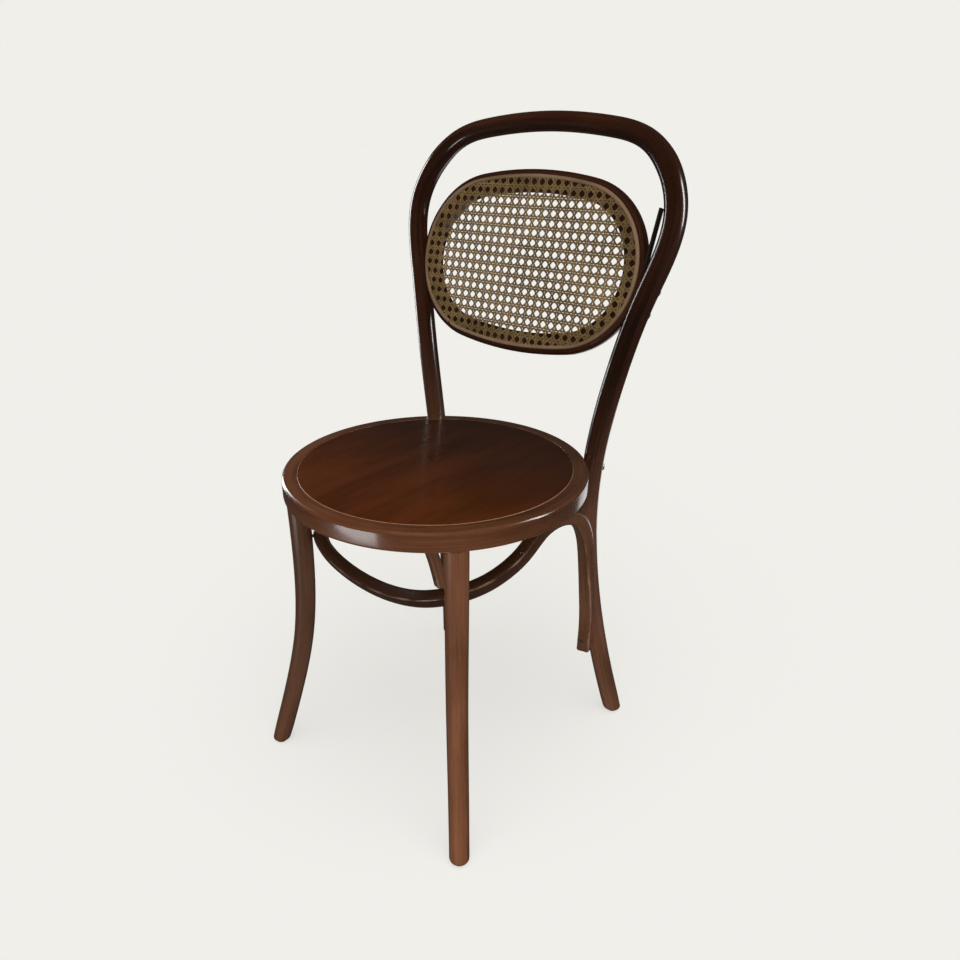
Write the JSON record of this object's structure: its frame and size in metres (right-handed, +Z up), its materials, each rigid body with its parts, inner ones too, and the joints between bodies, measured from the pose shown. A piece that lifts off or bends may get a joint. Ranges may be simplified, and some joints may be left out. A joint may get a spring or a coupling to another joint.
{
  "type": "bentwood bistro chair",
  "caption": "Bentwood side chair: hairpin back loop with a caned oval panel, round wooden seat, splayed legs and a bent hoop under the seat.",
  "frame": {"origin": "on the floor, at the middle of the chair's bounding box", "axes": "+Z up; the chair faces -Y, so its own left is +X"},
  "size_m": [0.4401, 0.4528, 0.8809],
  "materials": {
    "seat_wood": "worn reddish-brown lacquer, satin",
    "back_wood": "dark brown lacquer, glossy",
    "leg_wood": "brown lacquer, glossy",
    "reed": "split cane, satin",
    "cane": "woven cane, satin",
    "packing_wood": "dark stain, matte",
    "steel": "aged, semi-matte",
    "glide": "matte"
  },
  "bodies": {
    "root": {"seat_frame": "seat_wood", "seat_panel": "seat_wood", "back_loop": "back_wood", "back_oval_ring": "back_wood", "front_leg_left": "leg_wood", "front_leg_right": "leg_wood", "under_seat_hoop": "leg_wood", "cane_reed": "reed", "cane_sheet": "cane", "back_packing": "packing_wood", "hoop_pin": "steel", "seat_bolt_left": "steel", "seat_washer_left": "steel", "seat_nut_left": "steel", "hoop_screw_front_left": "steel", "hoop_screw_ring_left": "steel", "hoop_screw_rear_left": "steel", "back_screw_lower_left": "steel", "back_screw_upper_left": "steel", "foot_glide_rear_left": "glide", "foot_glide_front_left": "glide", "seat_bolt_right": "steel", "seat_washer_right": "steel", "seat_nut_right": "steel", "hoop_screw_front_right": "steel", "hoop_screw_ring_right": "steel", "hoop_screw_rear_right": "steel", "back_screw_lower_right": "steel", "back_screw_upper_right": "steel", "foot_glide_rear_right": "glide", "foot_glide_front_right": "glide"}
  },
  "joints": []
}
